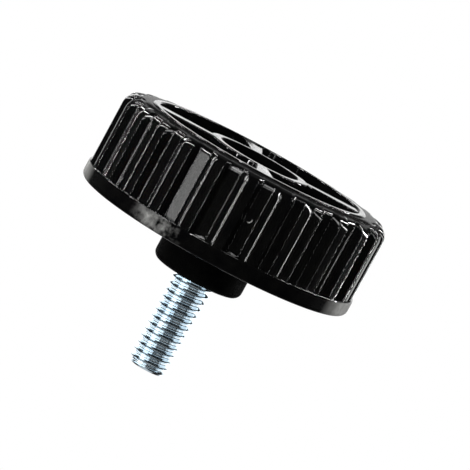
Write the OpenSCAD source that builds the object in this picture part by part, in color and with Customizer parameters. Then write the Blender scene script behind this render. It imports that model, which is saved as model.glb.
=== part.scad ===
// Adjustable appliance foot: a fluted plastic disc, hollow on the floor side,
// moulded in one piece with a hub and a boss, and carried on a hexagon-head bolt
// that is seated in the hub and leaves the boss as a threaded stud.
// The foot stands on its rim at z = 0 and the stud points up.

/* [Disc] */
// Diameter of the plain flange on the stud side
flange_d = 40; // [36:0.5:48]
// Height of the plain flange
flange_h = 2.4; // [1.5:0.1:4]
// Rounding of the flange's edge on the stud side
flange_edge_r = 0.8; // [0.2:0.1:1]
// Height of the disc from the floor to the stud-side face
disc_h = 13.2; // [11:0.1:18]
// Diameter over the ribs between the flutes
rib_d = 39.46; // [34.5:0.02:40]

/* [Flutes] */
// Number of flutes round the disc
flute_count = 25; // [20:1:27]
// Depth of a flute below the ribs
flute_depth = 1; // [0.4:0.1:1.2]
// Width of a flute at its floor
flute_floor_w = 1.75; // [1:0.05:2.2]
// Width of a flute at its mouth
flute_mouth_w = 3.45; // [2.4:0.05:3.7]
// Rounding of a flute's floor where it runs out on the rim
flute_end_r = 1; // [0.5:0.1:1.4]
// Height of the small step where a flute starts on the rim
flute_step = 0.06; // [0.04:0.01:0.2]

/* [Rim] */
// Diameter of the opening on the floor side
opening_d = 30.1; // [26:0.1:31]
// Width of the flat lip that stands on the floor
lip_w = 0.85; // [0.5:0.05:1.2]
// Height of the lip above the land round it
lip_h = 0.1; // [0.05:0.05:0.3]
// Fall of the sloping land from the floor plane to the ribs' corner
land_drop = 0.25; // [0.15:0.05:0.5]
// Rounding of the ribs' corner on the rim
rim_edge_r = 1.75; // [1.5:0.05:2]
// Draft of the opening's wall, in degrees
opening_draft = 1; // [0:0.25:2]
// Thickness of the web that closes the disc on the stud side
web_t = 2.8; // [1.5:0.1:4]

/* [Spokes and hub] */
// Number of spokes between the hub and the rim
spoke_count = 4; // [3:1:6]
// Width of a spoke at the hub
spoke_w_hub = 1.6; // [1:0.1:3]
// Width of a spoke at the rim
spoke_w_rim = 2.9; // [1.5:0.1:4]
// Depth of the spokes and the hub below the lip
spoke_drop = 0.17; // [0.1:0.01:1]
// Outer diameter of the hub
hub_d = 14.5; // [13.5:0.1:17]
// Diameter of the boss on the stud side
boss_d = 13; // [11:0.1:16]
// Height of the boss above the stud-side face
boss_h = 5.1; // [3:0.1:8]
// Rounding of the boss's end
boss_edge_r = 1.1; // [0.3:0.1:1.8]

/* [Bolt] */
// Diameter of the thread
thread_d = 6; // [5:0.5:6.5]
// Pitch of the thread
thread_pitch = 1; // [0.8:0.05:1.25]
// Depth of the thread
thread_depth = 0.5; // [0.3:0.05:0.6]
// Width of a crest of the thread, as a share of the pitch
crest_share = 0.25; // [0.15:0.05:0.4]
// Width of a root of the thread, as a share of the pitch
root_share = 0.15; // [0.1:0.05:0.3]
// Length of the bolt under its head
bolt_len = 20; // [16:1:30]
// Length of the bolt that the plastic grips
grip_len = 6.1; // [5.5:0.1:7.5]
// Diameter of the shank where the plastic fills its thread
grip_d = 5.35; // [4:0.05:5.4]
// Chamfer at the bolt's tip
tip_chamfer = 0.6; // [0.3:0.1:1]
// Width across the flats of the head
head_af = 9.8; // [8:0.1:10]
// Diameter of the circle that trims the head's corners
head_corner_d = 11; // [9.5:0.1:11.4]
// Height of the head
head_h = 4; // [3:0.1:5]
// Chamfer round the top of the head
head_chamfer = 0.45; // [0.2:0.05:0.6]
// Clearance round the bolt in the plastic
fit_clearance = 0.05; // [0.03:0.01:0.1]
// Gap round the stud at the countersunk mouth of its hole
mouth_gap = 0.12; // [0.05:0.01:0.3]

/* [Hidden] */
$fn = 96;
// Overlap of a cut beyond the surface that it opens
cut = 1;
flange_r = flange_d / 2;
rib_r = rib_d / 2;
floor_r = rib_r - flute_depth;
ledge_z = disc_h - flange_h;
opening_r = opening_d / 2;
lip_r = opening_r + lip_w;
rim_corner_r = rib_r - rim_edge_r;
rim_corner_z = land_drop + rim_edge_r;
flute_end_corner_r = floor_r - flute_end_r;
flute_end_corner_z = land_z(flute_end_corner_r) + flute_step + flute_end_r;
pocket_z = disc_h - web_t;
hub_r = hub_d / 2;
boss_z = disc_h + boss_h;
seat_z = boss_z - grip_len;
head_z = seat_z - head_h;
tip_z = seat_z + bolt_len;
stud_len = bolt_len - grip_len;
pocket_corner_d = head_corner_d + 2 * fit_clearance;
hub_hole_d = pocket_corner_d + 2 * fit_clearance;
mouth_d = thread_d + 2 * mouth_gap;
thread_r = thread_d / 2;
root_r = thread_r - thread_depth;
thread_len = stud_len - tip_chamfer;
// An even count of grooves leaves a crest at the middle of the thread
groove_count = 2 * floor(thread_len / thread_pitch / 2);
first_groove_z = boss_z + (thread_len - (groove_count - 1) * thread_pitch) / 2;
first_spoke = 45;

// Height of the sloping land at a radius
function land_z(r) = lip_h + (land_drop - lip_h) * (r - lip_r) / (rim_corner_r - lip_r);

// Radius of the opening's wall at a height
function wall_r(z) = opening_r - z * tan(opening_draft);

// Half section of the disc over the ribs: lip, land, rounded corner and side
module disc_section() {
    polygon([
        [0, 0],
        [lip_r, 0],
        [lip_r, lip_h],
        [rim_corner_r, land_drop],
        [rim_corner_r, disc_h],
        [0, disc_h]
    ]);
    translate([rim_corner_r, rim_corner_z]) {
        circle(rim_edge_r);
        square([rim_edge_r, disc_h - rim_corner_z]);
    }
}

// Half section of a plain disc with one rounded edge at its far end
module rounded_disc_section(r, z0, z1, edge) {
    translate([0, z0]) square([r, z1 - z0 - edge]);
    translate([0, z0]) square([r - edge, z1 - z0]);
    translate([r - edge, z1 - edge]) circle(edge);
}

// Half section of the ring that the flutes take away, down to their floor
module flute_section() {
    difference() {
        translate([flute_end_corner_r, -cut])
            square([rib_r + cut - flute_end_corner_r, ledge_z + cut]);
        translate([flute_end_corner_r, flute_end_corner_z]) {
            circle(flute_end_r);
            square([flute_end_r, disc_h]);
        }
    }
}

// Plan of one flute along +X: straight to its floor's edge, then flared to its mouth
module flute_plan() {
    floor_w = flute_floor_w / 2;
    mouth_w = flute_mouth_w / 2;
    flare = (mouth_w - floor_w) / flute_depth;
    beyond_w = mouth_w + flare * cut;
    polygon([
        [flute_end_corner_r - cut, -floor_w],
        [floor_r, -floor_w],
        [rib_r + cut, -beyond_w],
        [rib_r + cut, beyond_w],
        [floor_r, floor_w],
        [flute_end_corner_r - cut, floor_w]
    ]);
}

module flutes() {
    pitch = 360 / flute_count;
    intersection() {
        rotate_extrude() flute_section();
        for (i = [0 : flute_count - 1])
            rotate([0, 0, (i + 0.5) * pitch])
                translate([0, 0, -2 * cut]) linear_extrude(disc_h) flute_plan();
    }
}

// One spoke along +X, wider at the rim than at the hub
module spoke() {
    translate([0, 0, spoke_drop]) linear_extrude(disc_h) polygon([
        [hub_r - cut, -spoke_w_hub / 2],
        [hub_r, -spoke_w_hub / 2],
        [opening_r, -spoke_w_rim / 2],
        [opening_r + cut, -spoke_w_rim / 2],
        [opening_r + cut, spoke_w_rim / 2],
        [opening_r, spoke_w_rim / 2],
        [hub_r, spoke_w_hub / 2],
        [hub_r - cut, spoke_w_hub / 2]
    ]);
}

// The hollow between the hub and the rim, left standing at the spokes
module pockets() {
    difference() {
        rotate_extrude() polygon([
            [hub_r, -cut],
            [wall_r(-cut), -cut],
            [wall_r(pocket_z), pocket_z],
            [hub_r, pocket_z]
        ]);
        for (i = [0 : spoke_count - 1])
            rotate([0, 0, first_spoke + i * 360 / spoke_count]) spoke();
    }
    translate([0, 0, -cut]) cylinder(r = hub_r + cut, h = spoke_drop + cut);
}

// A hexagon with flats at y = +-af / 2 and its corners trimmed to a circle
module hexagon(af, corner_d) {
    intersection() {
        circle(d = af / cos(30), $fn = 6);
        circle(d = corner_d);
    }
}

// Room in the hub for the bolt: head access, hexagon pocket, shank hole and its countersunk mouth
module bolt_room() {
    translate([0, 0, -cut]) cylinder(d = hub_hole_d, h = head_z + cut);
    translate([0, 0, head_z - cut]) linear_extrude(head_h + cut)
        hexagon(head_af + 2 * fit_clearance, pocket_corner_d);
    translate([0, 0, seat_z - cut]) cylinder(d = grip_d + 2 * fit_clearance, h = grip_len + 2 * cut);
    translate([0, 0, boss_z - cut]) cylinder(d1 = mouth_d - 2 * cut, d2 = mouth_d + 2 * cut, h = 2 * cut);
}

module foot_body() {
    color("#19191b") difference() {
        union() {
            difference() {
                rotate_extrude() disc_section();
                flutes();
            }
            rotate_extrude() rounded_disc_section(flange_r, ledge_z, disc_h, flange_edge_r);
            rotate_extrude() rounded_disc_section(boss_d / 2, ledge_z, boss_z, boss_edge_r);
        }
        pockets();
        bolt_room();
    }
}

// Half section of the stud: the thread's grooves as plain rings, and the chamfered tip
module stud_section() {
    mouth_w = (1 - crest_share) * thread_pitch / 2;
    root_w = root_share * thread_pitch / 2;
    polygon(concat(
        [[0, boss_z], [thread_r, boss_z]],
        [
            for (i = [0 : groove_count - 1])
                let (z = first_groove_z + i * thread_pitch)
                    each [
                        [thread_r, z - mouth_w],
                        [root_r, z - root_w],
                        [root_r, z + root_w],
                        [thread_r, z + mouth_w]
                    ]
        ],
        [[thread_r, tip_z - tip_chamfer], [thread_r - tip_chamfer, tip_z], [0, tip_z]]
    ));
}

module hex_bolt() {
    color("#b8c6cc") {
        intersection() {
            translate([0, 0, head_z]) linear_extrude(head_h) hexagon(head_af, head_corner_d);
            translate([0, 0, head_z])
                cylinder(d1 = head_af - 2 * head_chamfer, d2 = head_af - 2 * head_chamfer + 4 * head_h, h = head_h);
        }
        translate([0, 0, seat_z - cut]) cylinder(d = grip_d, h = grip_len + 2 * cut);
        rotate_extrude() stud_section();
    }
}

foot_body();
hex_bolt();
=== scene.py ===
import math

import bmesh
import bpy
from mathutils import Matrix, Vector


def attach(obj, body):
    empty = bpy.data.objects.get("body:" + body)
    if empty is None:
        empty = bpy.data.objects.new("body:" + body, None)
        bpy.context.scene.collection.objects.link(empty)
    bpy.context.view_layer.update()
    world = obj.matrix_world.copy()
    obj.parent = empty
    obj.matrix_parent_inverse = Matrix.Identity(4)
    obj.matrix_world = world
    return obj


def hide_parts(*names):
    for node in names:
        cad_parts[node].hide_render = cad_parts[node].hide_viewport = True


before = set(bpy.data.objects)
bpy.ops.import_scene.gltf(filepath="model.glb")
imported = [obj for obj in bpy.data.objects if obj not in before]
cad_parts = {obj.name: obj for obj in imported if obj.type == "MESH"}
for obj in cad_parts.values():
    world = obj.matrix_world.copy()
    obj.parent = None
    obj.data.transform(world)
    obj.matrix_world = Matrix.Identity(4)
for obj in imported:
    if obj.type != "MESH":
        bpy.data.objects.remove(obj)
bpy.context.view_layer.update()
mm = 0.001
sharpAngle = 40         # edges that turn more than this stay sharp, degrees
seamGap = 2e-6          # vertices closer than this are merged
tinyGap = 1e-7
scene = bpy.context.scene
print("frame loaded:", sorted(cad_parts))


# camera as the photo was taken: turned, from a little below the rim's plane

photoView = {
    "imagePixels": 470,
    "rimCentrePixel": (260.4, 157.8),
    "focalPixels": 3642.6,
    "distance": 484.9 * mm,     # camera to the centre of the rim
    "roll": 28.62,              # turn of the disc in the picture, degrees
    "lift": 7.02,               # view into the open face, degrees
    "azimuth": 231.7,           # side of the foot that faces the camera, degrees from +X
    "sensor": 36.0,
    "clip": (0.01, 20),
}


def viewBasis():
    facing = math.radians(photoView["azimuth"])
    toCamera = Vector((math.cos(facing), math.sin(facing), 0))
    alongStud = Vector((0, 0, 1))
    return toCamera.cross(alongStud), toCamera, alongStud


def makeCamera():
    roll = math.radians(photoView["roll"])
    lift = math.radians(photoView["lift"])
    # the foot's own directions, seen by the camera: x right, y down, z away
    sideSeen = Vector((math.cos(roll), math.sin(roll), 0))
    frontSeen = Vector((-math.sin(roll) * math.sin(lift), math.cos(roll) * math.sin(lift), -math.cos(lift)))
    studSeen = Vector((-math.sin(roll) * math.cos(lift), math.cos(roll) * math.cos(lift), math.sin(lift)))
    seen = (sideSeen, frontSeen, studSeen)
    basis = viewBasis()
    half = photoView["imagePixels"] / 2
    pixel = photoView["rimCentrePixel"]
    reach = photoView["distance"] / photoView["focalPixels"]
    rim = Vector(((pixel[0] - half) * reach, (pixel[1] - half) * reach, photoView["distance"]))
    place = -sum((b * rim.dot(s) for b, s in zip(basis, seen)), Vector())
    right, down, away = (sum((b * s[i] for b, s in zip(basis, seen)), Vector()) for i in range(3))
    turn = Matrix((right, -down, -away)).transposed().to_4x4()
    data = bpy.data.cameras.new("photoCamera")
    data.sensor_width = photoView["sensor"]
    data.lens = photoView["focalPixels"] / photoView["imagePixels"] * photoView["sensor"]
    data.clip_start, data.clip_end = photoView["clip"]
    camera = bpy.data.objects.new("photoCamera", data)
    camera.matrix_world = Matrix.Translation(place) @ turn
    scene.collection.objects.link(camera)
    scene.camera = camera


makeCamera()
print("camera set")


# small helpers for the meshes

def finishMesh(bm, name):
    bmesh.ops.recalc_face_normals(bm, faces=bm.faces)
    mesh = bpy.data.meshes.new(name)
    bm.to_mesh(mesh)
    bm.free()
    mesh.shade_smooth()
    mesh.set_sharp_from_angle(angle=math.radians(sharpAngle))
    piece = bpy.data.objects.new(name, mesh)
    scene.collection.objects.link(piece)
    return piece


def arc(centre, radius, start, end, steps):
    points = []
    for i in range(steps + 1):
        a = math.radians(start + (end - start) * i / steps)
        points.append((centre[0] + radius * math.cos(a), centre[1] + radius * math.sin(a)))
    return points


def line(start, end, steps):
    return [(start[0] + (end[0] - start[0]) * i / steps, start[1] + (end[1] - start[1]) * i / steps)
            for i in range(1, steps)]


def hexRadius(angle, flats, corners):
    # distance from the axis to a hexagon's side, with its corners trimmed to a circle
    a = math.radians(60)
    fromFlat = (angle + a) % a - a / 2
    return min(flats / 2 / math.cos(fromFlat), corners / 2)


def extrudeLoop(bm, edges, place):
    # new ring of vertices from an open edge loop, each set by place(angle)
    made = bmesh.ops.extrude_edge_only(bm, edges=edges)["geom"]
    for v in (g for g in made if isinstance(g, bmesh.types.BMVert)):
        angle = math.atan2(v.co.y, v.co.x)
        radius, height = place(angle)
        v.co = Vector((radius * math.cos(angle), radius * math.sin(angle), height)) * mm
    return [g for g in made if isinstance(g, bmesh.types.BMEdge) and g.is_boundary]


# the moulded foot: one flute's sector is spun, shaped and repeated round the axis

foot = {
    "flangeRadius": 19.99, "ledge": 10.8, "discHeight": 13.2, "flangeEdge": 0.8,
    "ribRadius": 19.73, "rimEdge": 1.75, "landDrop": 0.25,
    "openingRadius": 15.05, "lipRadius": 15.9, "lipHeight": 0.1, "openingFoot": 14.87,
    "pocket": 10.4, "hubRadius": 7.25, "hubDrop": 0.17, "hubHole": 5.6,
    "bossRadius": 6.5, "bossTop": 18.3, "bossEdge": 1.1, "shankHole": 2.725, "mouthRadius": 3.12,
    "headTop": 8.2, "headSeat": 12.2, "hexFlats": 9.9, "hexCorners": 11.1,
    "softEdge": 0.14, "fillet": 0.35, "lipEdge": 0.05,
    "accessRow": 2.0,       # a row of the hub hole's wall
}
flute = {
    "count": 25, "columns": 30, "depth": 1.0,
    # a flute's two walls lean unlike
    "steepFloor": 0.84, "steepMouth": 1.53, "gentleFloor": 0.87, "gentleMouth": 1.90,
    "softMouth": 0.05, "softFloor": 0.02, "softSteep": 0.004, "softSteepFloor": 0.07,
    "endEdge": 1.0, "endCentre": 1.29,    # rounding of the floor where it runs out on the rim
}


def footProfile():
    f = foot
    s = f["softEdge"]
    k = f["fillet"]
    rimCentre = (f["ribRadius"] - f["rimEdge"], f["landDrop"] + f["rimEdge"])
    points = [(f["hubHole"], f["headTop"]), (f["hubHole"], f["accessRow"])]
    points += arc((f["hubHole"] + s, f["hubDrop"] + s), s, 180, 270, 4)
    points += arc((f["hubRadius"] - s, f["hubDrop"] + s), s, 270, 360, 4)
    points += arc((f["hubRadius"] + k, f["pocket"] - k), k, 180, 90, 4)
    points += arc((f["openingFoot"] - k, f["pocket"] - k), k, 90, 0, 4)
    points += arc((f["openingRadius"] + s, s), s, 180, 270, 4)
    points += arc((f["lipRadius"] - f["lipEdge"], f["lipEdge"]), f["lipEdge"], 270, 350, 3)
    # a small hollow where the lip meets the land
    points += arc((f["lipRadius"] + 0.08, f["lipHeight"] - 0.03), 0.06, 150, 100, 2)
    points += line((f["lipRadius"] + 0.1, f["lipHeight"]), (rimCentre[0], f["landDrop"]), 5)
    points += arc(rimCentre, f["rimEdge"], 270, 360, 18)
    points += line((f["ribRadius"], rimCentre[1]), (f["ribRadius"], f["ledge"]), 8)
    points += [(f["ribRadius"], f["ledge"] - s), (f["ribRadius"], f["ledge"])]
    points += arc((f["flangeRadius"] - s, f["ledge"] + s), s, 270, 360, 4)
    flangeCentre = (f["flangeRadius"] - f["flangeEdge"], f["discHeight"] - f["flangeEdge"])
    points += arc(flangeCentre, f["flangeEdge"], 0, 90, 8)
    points += arc((f["bossRadius"] + k, f["discHeight"] + k), k, 270, 180, 4)
    points += arc((f["bossRadius"] - f["bossEdge"], f["bossTop"] - f["bossEdge"]), f["bossEdge"], 0, 90, 8)
    mouthDepth = f["mouthRadius"] - f["shankHole"]
    points += [(f["mouthRadius"], f["bossTop"]), (f["shankHole"], f["bossTop"] - mouthDepth)]
    points += [(f["shankHole"], f["headSeat"])]
    return points


def wallShape(angle):
    # a wall's places at the floor and at the mouth, and its roundings there
    if angle < 0:
        return flute["gentleFloor"], flute["gentleMouth"], flute["softFloor"], flute["softMouth"]
    return flute["steepFloor"], flute["steepMouth"], flute["softSteepFloor"], flute["softSteep"]


def columnPlaces(angle):
    # columns of half a flute's sector, crowded round the floor's and the mouth's edges
    floor, mouth, corner, edge = wallShape(angle)
    half = foot["ribRadius"] * math.pi / flute["count"]
    crowd = (-4, -1.5, 0, 1.5, 4)
    places = [0] + [floor + k * corner * (mouth - floor) for k in crowd] + [(floor + mouth) / 2]
    places += [mouth + k * edge * (mouth - floor) for k in crowd + (10,)]
    last = places[-1]
    return places + [last + (half - last) * k / 3 for k in (1, 2, 3)]


def softRamp(x, low, high):
    # 0 to 1 with both ends of the ramp rounded
    return low * math.log1p(math.exp(x / low)) - high * math.log1p(math.exp((x - 1) / high))


def floorTwin(radius, height):
    # the point of a flute's floor that stands behind a point of the ribs' side
    centre = (foot["ribRadius"] - foot["rimEdge"], foot["landDrop"] + foot["rimEdge"])
    floorRadius = foot["ribRadius"] - flute["depth"]
    small = 0.001
    if height > foot["ledge"] + small or radius < centre[0] - small or radius > foot["ribRadius"] + small:
        return radius, height
    if height >= centre[1]:
        down = (height - centre[1]) / (foot["ledge"] - centre[1])
        return floorRadius, flute["endCentre"] + down * (foot["ledge"] - flute["endCentre"])
    a = math.atan2(radius - centre[0], centre[1] - height)
    return (floorRadius - flute["endEdge"] * (1 - math.sin(a)),
            flute["endCentre"] - flute["endEdge"] * math.cos(a))


def shapeSector(bm):
    pitch = 2 * math.pi / flute["count"]
    for v in bm.verts:
        radius = math.hypot(v.co.x, v.co.y) / mm
        height = v.co.z / mm
        angle = math.atan2(v.co.y, v.co.x)
        column = round(abs(angle) / pitch * flute["columns"])
        across = columnPlaces(angle)[column]
        turned = math.copysign(across / foot["ribRadius"], angle)
        floor, mouth, corner, edge = wallShape(angle)
        share = softRamp((mouth - across) / (mouth - floor), edge, corner)
        low = floorTwin(radius, height)
        radius += share * (low[0] - radius)
        height += share * (low[1] - height)
        v.co = Vector((radius * math.cos(turned), radius * math.sin(turned), height)) * mm


spoke = {"count": 4, "first": 45.0, "hubWidth": 1.6, "rimWidth": 2.9, "sink": 0.6, "edge": 0.14}


def addSpokes(body):
    inner = foot["hubRadius"] - spoke["sink"]
    outer = foot["openingRadius"] + spoke["sink"]
    bm = bmesh.new()
    corners = [(inner, -spoke["hubWidth"] / 2), (outer, -spoke["rimWidth"] / 2),
               (outer, spoke["rimWidth"] / 2), (inner, spoke["hubWidth"] / 2)]
    top = bm.faces.new([bm.verts.new(Vector((x, y, foot["hubDrop"])) * mm) for x, y in corners])
    longEdges = [e for e in top.edges if abs(e.verts[0].co.x - e.verts[1].co.x) > 1 * mm]
    made = bmesh.ops.extrude_face_region(bm, geom=[top], use_keep_orig=True)["geom"]
    deep = [g for g in made if isinstance(g, bmesh.types.BMVert)]
    depth = foot["pocket"] + spoke["sink"] - foot["hubDrop"]
    bmesh.ops.translate(bm, verts=deep, vec=Vector((0, 0, depth)) * mm)
    bmesh.ops.bevel(bm, geom=longEdges, offset=spoke["edge"] * mm, segments=3, profile=0.5,
                    affect="EDGES", material=-1)
    bmesh.ops.rotate(bm, verts=bm.verts, cent=(0, 0, 0),
                     matrix=Matrix.Rotation(math.radians(spoke["first"]), 3, "Z"))
    bmesh.ops.spin(bm, geom=bm.verts[:] + bm.edges[:] + bm.faces[:], cent=(0, 0, 0), axis=(0, 0, 1),
                   angle=2 * math.pi * (spoke["count"] - 1) / spoke["count"], steps=spoke["count"] - 1,
                   use_duplicate=True)
    spokes = finishMesh(bm, "spokes")
    join = body.modifiers.new("joinSpokes", "BOOLEAN")
    join.operation = "UNION"
    join.solver = "EXACT"
    join.object = spokes
    joined = bpy.data.meshes.new_from_object(body.evaluated_get(bpy.context.evaluated_depsgraph_get()))
    body.modifiers.clear()
    body.data = joined
    bpy.data.objects.remove(spokes)


def makeFoot():
    bm = bmesh.new()
    start = -math.pi / flute["count"]
    profile = [bm.verts.new((r * mm * math.cos(start), r * mm * math.sin(start), z * mm))
               for r, z in footProfile()]
    edges = [bm.edges.new(pair) for pair in zip(profile, profile[1:])]
    bmesh.ops.spin(bm, geom=profile + edges, cent=(0, 0, 0), axis=(0, 0, 1),
                   angle=2 * math.pi / flute["count"], steps=flute["columns"])
    bmesh.ops.remove_doubles(bm, verts=bm.verts, dist=tinyGap)
    shapeSector(bm)
    bmesh.ops.rotate(bm, verts=bm.verts, cent=(0, 0, 0), matrix=Matrix.Rotation(-start, 3, "Z"))
    bmesh.ops.spin(bm, geom=bm.verts[:] + bm.edges[:] + bm.faces[:], cent=(0, 0, 0), axis=(0, 0, 1),
                   angle=2 * math.pi * (flute["count"] - 1) / flute["count"], steps=flute["count"] - 1,
                   use_duplicate=True)
    bmesh.ops.remove_doubles(bm, verts=bm.verts, dist=seamGap)
    # the hexagon pocket closes the hub between the head's access and the shank's hole
    rings = [e for e in bm.edges if e.is_boundary]
    access = [e for e in rings if e.verts[0].co.z < (foot["headTop"] + 1) * mm]
    shank = [e for e in rings if e not in access]

    def pocketSide(angle):
        return hexRadius(angle, foot["hexFlats"], foot["hexCorners"])

    mouth = extrudeLoop(bm, access, lambda a: (pocketSide(a), foot["headTop"]))
    seat = extrudeLoop(bm, mouth, lambda a: (pocketSide(a), foot["headSeat"]))
    bmesh.ops.bridge_loops(bm, edges=seat + shank)
    body = finishMesh(bm, "footBody")
    addSpokes(body)
    weigh = body.modifiers.new("evenNormals", "WEIGHTED_NORMAL")
    weigh.keep_sharp = True
    return body


footBody = makeFoot()
print("foot:", len(footBody.data.polygons), "faces")


# the zinc-plated bolt: a rolled thread outside, a plain shank and a hexagon head inside the hub

bolt = {
    "crestRadius": 2.96, "rootRadius": 2.40, "pitch": 1.0, "stepsPerTurn": 64,
    "threadStart": 17.95, "tip": 32.2, "tipChamfer": 0.6, "shankRadius": 2.67,
    "headSeat": 12.2, "headTop": 8.2, "flats": 9.8, "corners": 11.0,
    "headChamfer": 0.45, "headSlope": 0.5,     # the chamfer rises half as fast as it widens
    "tipFace": 0.8,                            # flat of the tip, as a share of the root
}


def threadTooth():
    # one pitch of the thread, root to root: share of the pitch, share of the depth
    return ((0.0, 0.0), (0.06, 0.0), (0.13, 0.06), (0.27, 0.42), (0.40, 0.82), (0.445, 0.95), (0.5, 1.0),
            (0.555, 0.95), (0.60, 0.82), (0.73, 0.42), (0.87, 0.06), (0.94, 0.0), (1.0, 0.0))


def makeBolt():
    b = bolt
    bm = bmesh.new()
    low = b["threadStart"] - 2 * b["pitch"]
    turns = math.ceil((b["tip"] - low) / b["pitch"]) + 1
    tooth = [bm.verts.new(Vector((b["rootRadius"] + d * (b["crestRadius"] - b["rootRadius"]), 0,
                                  low + p * b["pitch"])) * mm) for p, d in threadTooth()]
    edges = [bm.edges.new(pair) for pair in zip(tooth, tooth[1:])]
    steps = turns * b["stepsPerTurn"]
    bmesh.ops.spin(bm, geom=tooth + edges, cent=(0, 0, 0), axis=(0, 0, 1), angle=2 * math.pi * turns,
                   steps=steps, dvec=Vector((0, 0, b["pitch"] * turns / steps)) * mm)
    bmesh.ops.remove_doubles(bm, verts=bm.verts, dist=seamGap)
    for height, clear in ((b["threadStart"], "inner"), (b["tip"], "outer")):
        bmesh.ops.bisect_plane(bm, geom=bm.verts[:] + bm.edges[:] + bm.faces[:], dist=tinyGap,
                               plane_co=(0, 0, height * mm), plane_no=(0, 0, 1),
                               clear_inner=clear == "inner", clear_outer=clear == "outer")
    # the chamfer turns the thread's crests down to the tip
    chamferStart = b["tip"] - b["tipChamfer"]
    for v in bm.verts:
        radius = math.hypot(v.co.x, v.co.y) / mm
        allowed = b["crestRadius"] - max(0, v.co.z / mm - chamferStart)
        if radius > allowed:
            v.co.x *= allowed / radius
            v.co.y *= allowed / radius
    rings = [e for e in bm.edges if e.is_boundary]
    middle = (b["threadStart"] + b["tip"]) / 2 * mm
    tipRing = [e for e in rings if e.verts[0].co.z > middle]
    shankRing = [e for e in rings if e.verts[0].co.z < middle]
    face = extrudeLoop(bm, tipRing, lambda a: (b["rootRadius"] * b["tipFace"], b["tip"]))
    bmesh.ops.edgeloop_fill(bm, edges=face)

    def hexagon(angle):
        return hexRadius(angle, b["flats"], b["corners"])

    ring = extrudeLoop(bm, shankRing, lambda a: (b["shankRadius"], b["threadStart"]))
    ring = extrudeLoop(bm, ring, lambda a: (b["shankRadius"], b["headSeat"]))
    ring = extrudeLoop(bm, ring, lambda a: (hexagon(a), b["headSeat"]))
    circle = b["flats"] / 2 - b["headChamfer"]
    slope = b["headSlope"]
    ring = extrudeLoop(bm, ring, lambda a: (hexagon(a), b["headTop"] + (hexagon(a) - circle) * slope))
    ring = extrudeLoop(bm, ring, lambda a: (circle, b["headTop"]))
    bmesh.ops.edgeloop_fill(bm, edges=ring)
    return finishMesh(bm, "hexBolt")


hexBolt = makeBolt()
print("bolt:", len(hexBolt.data.polygons), "faces")


# materials

def newNode(tree, kind, **values):
    node = tree.nodes.new(kind)
    for key, value in values.items():
        if key in node.inputs:
            node.inputs[key].default_value = value
        else:
            setattr(node, key, value)
    return node


def grainGroup():
    # fine surface grain shared by the plastic and the plating: a height and a broad mottle
    group = bpy.data.node_groups.new("surfaceGrain", "ShaderNodeTree")
    face = group.interface
    face.new_socket("Grain Scale", in_out="INPUT", socket_type="NodeSocketFloat")
    face.new_socket("Mottle Scale", in_out="INPUT", socket_type="NodeSocketFloat")
    face.new_socket("Height", in_out="OUTPUT", socket_type="NodeSocketFloat")
    face.new_socket("Mottle", in_out="OUTPUT", socket_type="NodeSocketFloat")
    start = newNode(group, "NodeGroupInput")
    end = newNode(group, "NodeGroupOutput")
    coords = newNode(group, "ShaderNodeTexCoord")
    fine = newNode(group, "ShaderNodeTexNoise", Detail=4.0, Roughness=0.6)
    broad = newNode(group, "ShaderNodeTexNoise", Detail=5.0, Roughness=0.65)
    link = group.links.new
    for texture, scale in ((fine, "Grain Scale"), (broad, "Mottle Scale")):
        link(coords.outputs["Object"], texture.inputs["Vector"])
        link(start.outputs[scale], texture.inputs["Scale"])
    link(fine.outputs["Fac"], end.inputs["Height"])
    link(broad.outputs["Fac"], end.inputs["Mottle"])
    return group


surfaceGrain = grainGroup()


def newMaterial(name):
    material = bpy.data.materials.new(name)
    material.use_nodes = True
    tree = material.node_tree
    return material, tree, tree.nodes["Principled BSDF"]


def addGrain(tree, grainScale, mottleScale):
    grain = newNode(tree, "ShaderNodeGroup", node_tree=surfaceGrain)
    grain.inputs["Grain Scale"].default_value = grainScale
    grain.inputs["Mottle Scale"].default_value = mottleScale
    return grain


def addBump(tree, shader, grain, strength, depth):
    bump = newNode(tree, "ShaderNodeBump", Strength=strength, Distance=depth * mm)
    tree.links.new(grain.outputs["Height"], bump.inputs["Height"])
    tree.links.new(bump.outputs["Normal"], shader.inputs["Normal"])


def ramp(tree, source, low, high, fromColour, toColour):
    node = newNode(tree, "ShaderNodeValToRGB")
    node.color_ramp.elements[0].position = low
    node.color_ramp.elements[1].position = high
    node.color_ramp.elements[0].color = (*fromColour, 1)
    node.color_ramp.elements[1].color = (*toColour, 1)
    tree.links.new(source, node.inputs["Fac"])
    return node.outputs["Color"]


def mapRange(tree, source, fromMin, fromMax, toMin, toMax):
    node = newNode(tree, "ShaderNodeMapRange")
    for key, value in (("From Min", fromMin), ("From Max", fromMax), ("To Min", toMin), ("To Max", toMax)):
        node.inputs[key].default_value = value
    tree.links.new(source, node.inputs["Value"])
    return node.outputs["Result"]


def combine(tree, operation, first, second):
    node = newNode(tree, "ShaderNodeMath", operation=operation)
    tree.links.new(first, node.inputs[0])
    tree.links.new(second, node.inputs[1])
    return node.outputs[0]


def onSide(right, radius, height):
    # a point of the foot, by its turn to the right of the camera
    side, toCamera, stud = viewBasis()
    turn = math.radians(right)
    return ((toCamera * math.cos(turn) + side * math.sin(turn)) * radius + stud * height) * mm


def spot(tree, place, centre, radius, soft):
    # 1 within a radius of a point, falling to 0
    distance = newNode(tree, "ShaderNodeVectorMath", operation="DISTANCE")
    tree.links.new(place, distance.inputs[0])
    distance.inputs[1].default_value = centre
    return mapRange(tree, distance.outputs["Value"], radius * mm, (radius + soft) * mm, 1, 0)


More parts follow.
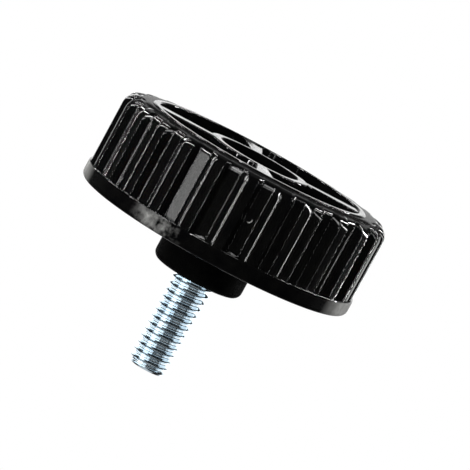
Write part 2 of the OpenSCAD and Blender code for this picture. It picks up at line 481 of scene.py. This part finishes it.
plastic = {
    # the third colour on the next line is the pale grey of the painted highlights and reflections
    "darkest": (0.0004, 0.0004, 0.0005), "palest": (0.0014, 0.0014, 0.0013), "paintedSheen": (0.16, 0.16, 0.155),
    "dullHeight": (10.85, 11.0),    # polished below, moulded dull above
    "dullRadius": (5.7, 5.9),       # the hub's hole is dull too
    "sideRadius": (19.3, 19.7),     # the painted highlight and reflections keep to the flange's side
    "faceHeights": (13.2, 18.3), "faceSkin": 0.5,    # a little gloss on the stud-side faces
    "faceReach": (0.06, 0.1),
    "landHeight": (0.24, 0.30), "landRadius": (15.9, 16.1), "landDullness": 0.7,
    "grain": (9000.0, 420.0), "bump": (0.04, 0.02),     # two scales; strength and depth
    # four numbers: the noise from low to high, and what that becomes
    "skin": (0.4, 0.6, 1.0, 0.5), "skinRoughness": 0.05, "underSkin": 0.002,
    "roughness": (0.3, 0.7, 0.4, 0.6), "shades": (0.35, 0.75),
    "keyHighlightMottle": (0.42, 0.68, 0, 0.7), "endReflectionMottle": (0.3, 0.7, 0.5, 1),
    # painted highlights and reflections: degrees right of the camera, radius, height, size and soft edge
    # a pale patch painted on the flange where the left lamp's reflection falls, broken up by the mottle
    "keyHighlight": (-23, 20.0, 12.1, 1.4, 3.0),
    # pale ends painted on the flange's sides where the white backdrop reflects at grazing
    "endReflectionRight": (76, 20.0, 12.0, 2.2, 5.0),
    "endReflectionLeft": (-82, 20.0, 12.0, 0.8, 5.0),
    # a small nick in a flute, with a painted highlight on the lit side of its rim
    "nickHighlight": (8.0, 18.73, 5.8, 0.42, 0.06),
    "nickHollow": (8.0, 18.73, 5.8, 0.30, 0.06),
    "nickLit": (9.2, 18.73, 6.15, 0.35, 0.2),
}


def mark(tree, place, name):
    right, radius, height, size, soft = plastic[name]
    return spot(tree, place, onSide(right, radius, height), size, soft)


def blackPlastic():
    material, tree, shader = newMaterial("blackPlastic")
    grain = addGrain(tree, *plastic["grain"])
    mottle = grain.outputs["Mottle"]
    link = tree.links.new
    coords = newNode(tree, "ShaderNodeTexCoord")
    place = coords.outputs["Object"]
    parts = newNode(tree, "ShaderNodeSeparateXYZ")
    link(place, parts.inputs[0])
    flat = newNode(tree, "ShaderNodeVectorMath", operation="MULTIPLY")
    flat.inputs[1].default_value = (1, 1, 0)
    link(place, flat.inputs[0])
    tall = newNode(tree, "ShaderNodeVectorMath", operation="MULTIPLY")
    tall.inputs[1].default_value = (0, 0, 1)
    link(place, tall.inputs[0])
    # polished ribs and rim, a dull flange, boss and hub hole
    low, high = plastic["dullHeight"]
    flange = mapRange(tree, parts.outputs["Z"], low * mm, high * mm, 0, 1)
    inner, outer = plastic["dullRadius"]
    dull = combine(tree, "MAXIMUM", flange, spot(tree, flat.outputs[0], (0, 0, 0), inner, outer - inner))
    # the land outside the lip is duller than the ribs
    low, high = plastic["landHeight"]
    inner, outer = plastic["landRadius"]
    nearFloor = mapRange(tree, parts.outputs["Z"], low * mm, high * mm, plastic["landDullness"], 0)
    land = combine(tree, "SUBTRACT", nearFloor, spot(tree, flat.outputs[0], (0, 0, 0), inner, outer - inner))
    dull = combine(tree, "MAXIMUM", dull, land)
    # some gloss on the faces of the stud side, and the painted highlight and reflections kept off them
    inner, outer = plastic["sideRadius"]
    within = spot(tree, flat.outputs[0], (0, 0, 0), inner, outer - inner)
    flangeFace, bossFace = (spot(tree, tall.outputs[0], (0, 0, height * mm), *plastic["faceReach"])
                            for height in plastic["faceHeights"])
    face = combine(tree, "MULTIPLY", combine(tree, "MAXIMUM", flangeFace, bossFace), within)
    dull = combine(tree, "SUBTRACT", dull, mapRange(tree, face, 0, 1, 0, plastic["faceSkin"]))
    flange = combine(tree, "SUBTRACT", flange, within)
    polish = mapRange(tree, grain.outputs["Height"], *plastic["skin"])
    link(combine(tree, "MULTIPLY", polish, mapRange(tree, dull, 0, 1, 1, 0)), shader.inputs["Coat Weight"])
    shader.inputs["Coat Roughness"].default_value = plastic["skinRoughness"]
    shader.inputs["Specular IOR Level"].default_value = plastic["underSkin"]
    link(mapRange(tree, mottle, *plastic["roughness"]), shader.inputs["Roughness"])
    # painted highlight and reflections on the flange: a pale patch where the left lamp's reflection falls,
    # and pale ends where the backdrop reflects at the sides; and a painted highlight on the lit side of a
    # small nick's rim in a flute
    highlightBreakup = mapRange(tree, mottle, *plastic["keyHighlightMottle"])
    keyHighlight = combine(tree, "MULTIPLY", mark(tree, place, "keyHighlight"), highlightBreakup)
    ends = combine(tree, "MAXIMUM", mark(tree, place, "endReflectionRight"), mark(tree, place, "endReflectionLeft"))
    ends = combine(tree, "MULTIPLY", ends, mapRange(tree, mottle, *plastic["endReflectionMottle"]))
    paintedFlangeSheen = combine(tree, "MULTIPLY", combine(tree, "MAXIMUM", keyHighlight, ends), flange)
    # painted highlight: the nick's rim, on its lit side only
    ring = combine(tree, "SUBTRACT", mark(tree, place, "nickHighlight"), mark(tree, place, "nickHollow"))
    nickHighlight = combine(tree, "MULTIPLY", ring, mark(tree, place, "nickLit"))
    paintedSheen = combine(tree, "MAXIMUM", paintedFlangeSheen, nickHighlight)
    # the painted highlights and reflections are mixed into the base colour here
    colour = newNode(tree, "ShaderNodeMixRGB")
    link(paintedSheen, colour.inputs["Fac"])
    black = ramp(tree, mottle, *plastic["shades"], plastic["darkest"], plastic["palest"])
    link(black, colour.inputs["Color1"])
    colour.inputs["Color2"].default_value = (*plastic["paintedSheen"], 1)
    link(colour.outputs["Color"], shader.inputs["Base Color"])
    addBump(tree, shader, grain, *plastic["bump"])
    return material


zinc = {
    "grain": (5000.0, 700.0), "bump": (0.06, 0.02),
    "darkest": (0.55, 0.67, 0.76), "palest": (0.78, 0.87, 0.92), "shades": (0.3, 0.7),
    "roughness": (0.3, 0.7, 0.12, 0.18),
}


def zincSteel():
    material, tree, shader = newMaterial("zincSteel")
    grain = addGrain(tree, *zinc["grain"])
    mottle = grain.outputs["Mottle"]
    shader.inputs["Metallic"].default_value = 1
    colour = ramp(tree, mottle, *zinc["shades"], zinc["darkest"], zinc["palest"])
    tree.links.new(colour, shader.inputs["Base Color"])
    tree.links.new(mapRange(tree, mottle, *zinc["roughness"]), shader.inputs["Roughness"])
    addBump(tree, shader, grain, *zinc["bump"])
    return material


for piece, material, node, slot in ((footBody, blackPlastic(), "foot_body", "black_plastic"),
                                    (hexBolt, zincSteel(), "hex_bolt", "zinc_steel")):
    piece.data.materials.clear()
    piece.data.materials.append(material)
    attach(piece, "root")
    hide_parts(node)
print("materials set")


# pale floor: seen from above only, so that the camera under it sees the open face

ground = {
    "size": 0.6, "roughness": 0.9, "grain": (60.0, 6.0),
    "darkest": (0.80, 0.80, 0.80), "palest": (0.84, 0.84, 0.84), "shades": (0.3, 0.7),
}


def floorMaterial():
    material, tree, shader = newMaterial("paleFloor")
    shader.inputs["Roughness"].default_value = ground["roughness"]
    grain = addGrain(tree, *ground["grain"])
    colour = ramp(tree, grain.outputs["Mottle"], *ground["shades"], ground["darkest"], ground["palest"])
    tree.links.new(colour, shader.inputs["Base Color"])
    path = newNode(tree, "ShaderNodeLightPath")
    geometry = newNode(tree, "ShaderNodeNewGeometry")
    clear = newNode(tree, "ShaderNodeBsdfTransparent")
    unseen = geometry.outputs["Backfacing"]
    for ray in ("Is Shadow Ray", "Is Glossy Ray"):
        unseen = combine(tree, "MAXIMUM", unseen, path.outputs[ray])
    mix = newNode(tree, "ShaderNodeMixShader")
    tree.links.new(unseen, mix.inputs["Fac"])
    tree.links.new(shader.outputs["BSDF"], mix.inputs[1])
    tree.links.new(clear.outputs["BSDF"], mix.inputs[2])
    tree.links.new(mix.outputs["Shader"], tree.nodes["Material Output"].inputs["Surface"])
    return material


def makeFloor():
    bm = bmesh.new()
    bmesh.ops.create_grid(bm, x_segments=1, y_segments=1, size=ground["size"])
    floor = finishMesh(bm, "floor")
    floor.data.materials.append(floorMaterial())
    return floor


paleFloor = makeFloor()
print("floor laid")


# studio: white to the camera, bright behind the foot and dim elsewhere in reflections,
# with lamps placed in the camera's own terms

studio = {
    "backdrop": 1.6, "dim": 0.015,
    # brightness from the camera's side (-1) to straight behind the foot (1)
    "walls": ((0.82, 0.0), (0.90, 1.0)),
    # brightness from the floor's side (-1) to the stud's side (1)
    "rows": ((-0.60, 0.06), (-0.50, 0.3), (-0.36, 0.3), (-0.30, 0.03), (-0.145, 0.03),
             (-0.131, 1.0), (0.30, 1.0), (0.65, 0.1), (0.9, 0.1)),
    # narrow strips and bars that draw the lines on the foot:
    # name, degrees right of the camera, degrees towards the stud, width, height, radiance
    "lamps": (
        ("frontStrip", -18.1, -18, 0.0105, 1.08, 110.0),
        ("bandLeft", -41.6, 7, 0.070, 0.36, 4.5),
        ("leftStrip", -46.9, -18, 0.0105, 1.08, 110.0),
        ("sideStrip", -75.7, -18, 0.0105, 1.08, 110.0),
        ("farStrip", -104.5, -18, 0.0105, 1.08, 80.0),
        ("backLeft", -133.3, -18, 0.0105, 1.08, 70.0),
        ("backRight", 124.4, -18, 0.013, 1.08, 180.0),
        ("sideRight", 95.7, -18, 0.0105, 1.08, 60.0),
        ("nearRight", 66.9, -18, 0.0105, 1.08, 22.0),
        ("ledgeLeft", -12, -7, 0.115, 0.06, 20.0),
        ("ledgeRight", 17, -7, 0.115, 0.06, 10.0),
        ("overLeft", -12, -35, 0.115, 0.21, 14.0),
        ("overRight", 17, -35, 0.115, 0.21, 7.0),
    ),
    "lampDistance": 0.6, "lampTarget": 8,
    # soft light from above for the foot and the floor
    "top": (("softTop", 0, 90, 2.0, 2.0, 2.4),),
    "topDistance": 1.2, "topTarget": 0,
    # white cards for the bright stud, placed as the lamps are
    "cards": (
        ("cardLeft", -105, 7, 0.350, 0.080, 2.0),
        ("cardBright", -56, 25, 0.143, 0.350, 2.4),
        ("cardFront", -25, 7, 0.140, 0.110, 2.2),
        ("cardDim", 22, 7, 0.300, 0.040, 0.9),
        ("cardNear", 72, 6, 0.110, 0.060, 1.5),
        ("cardRight", 108, 18, 0.240, 0.260, 1.3),
        ("cardFar", 150, 10, 0.233, 0.200, 1.1),
        ("cardBack", 180, -20, 0.600, 0.200, 1.2),
        ("cardUnder", 0, -90, 0.360, 0.360, 0.7),
        ("cardTop", 0, 90, 0.230, 0.230, 0.55),
    ),
    "cardDistance": 0.25, "cardTarget": 25,
}


def levelRamp(tree, source, levels):
    # brightness along a direction's part, which runs from -1 to 1
    node = newNode(tree, "ShaderNodeValToRGB")
    stops = node.color_ramp.elements
    while len(stops) < len(levels):
        stops.new(1.0)
    for stop, (place, level) in zip(stops, levels):
        stop.position = (place + 1) / 2
        stop.color = (level, level, level, 1)
    tree.links.new(mapRange(tree, source, -1, 1, 0, 1), node.inputs["Fac"])
    return node.outputs["Color"]


def directionPart(tree, source, axis):
    node = newNode(tree, "ShaderNodeVectorMath", operation="DOT_PRODUCT")
    node.inputs[1].default_value = axis
    tree.links.new(source, node.inputs[0])
    return node.outputs["Value"]


def makeWorld():
    world = bpy.data.worlds.new("studio")
    scene.world = world
    world.use_nodes = True
    tree = world.node_tree
    tree.nodes.clear()
    link = tree.links.new
    toCamera, stud = viewBasis()[1:]
    path = newNode(tree, "ShaderNodeLightPath")
    coords = newNode(tree, "ShaderNodeTexCoord")
    direction = coords.outputs["Generated"]
    level = newNode(tree, "ShaderNodeVectorMath", operation="MULTIPLY")
    level.inputs[1].default_value = (1, 1, 0)
    link(direction, level.inputs[0])
    around = newNode(tree, "ShaderNodeVectorMath", operation="NORMALIZE")
    link(level.outputs[0], around.inputs[0])
    walls = levelRamp(tree, directionPart(tree, around.outputs[0], -toCamera), studio["walls"])
    rows = levelRamp(tree, directionPart(tree, direction, stud), studio["rows"])
    strength = newNode(tree, "ShaderNodeMath", operation="MULTIPLY_ADD")
    link(combine(tree, "MULTIPLY", walls, rows), strength.inputs[0])
    strength.inputs[1].default_value = studio["backdrop"]
    strength.inputs[2].default_value = studio["dim"]
    light = newNode(tree, "ShaderNodeBackground", Color=(1, 1, 1, 1))
    link(strength.outputs[0], light.inputs["Strength"])
    white = newNode(tree, "ShaderNodeBackground", Color=(1, 1, 1, 1), Strength=1.0)
    mix = newNode(tree, "ShaderNodeMixShader")
    link(path.outputs["Is Camera Ray"], mix.inputs["Fac"])
    link(light.outputs["Background"], mix.inputs[1])
    link(white.outputs["Background"], mix.inputs[2])
    end = newNode(tree, "ShaderNodeOutputWorld")
    link(mix.outputs["Shader"], end.inputs["Surface"])


def addLamps(lamps, target, distance, pieces):
    # area lamps that light some pieces only, each turned to a height on the axis
    side, toCamera, stud = viewBasis()
    lit = bpy.data.collections.new("lit" + lamps[0][0])
    for piece in pieces:
        lit.objects.link(piece)
    for name, right, up, width, height, radiance in lamps:
        data = bpy.data.lights.new(name, "AREA")
        data.shape = "RECTANGLE"
        data.size = width
        data.size_y = height
        data.energy = radiance * math.pi * width * height
        turn, lift = math.radians(right), math.radians(up)
        level = toCamera * math.cos(turn) + side * math.sin(turn)
        direction = level * math.cos(lift) + stud * math.sin(lift)
        lamp = bpy.data.objects.new(name, data)
        lamp.location = stud * target * mm + direction * distance
        lamp.rotation_euler = (-direction).to_track_quat("-Z", "Y").to_euler()
        lamp.visible_camera = False
        lamp.light_linking.receiver_collection = lit
        scene.collection.objects.link(lamp)


makeWorld()
addLamps(studio["lamps"], studio["lampTarget"], studio["lampDistance"], [footBody])
addLamps(studio["cards"], studio["cardTarget"], studio["cardDistance"], [hexBolt])
addLamps(studio["top"], studio["topTarget"], studio["topDistance"], [footBody, paleFloor])
scene.view_settings.view_transform = "Standard"
print("studio lit")
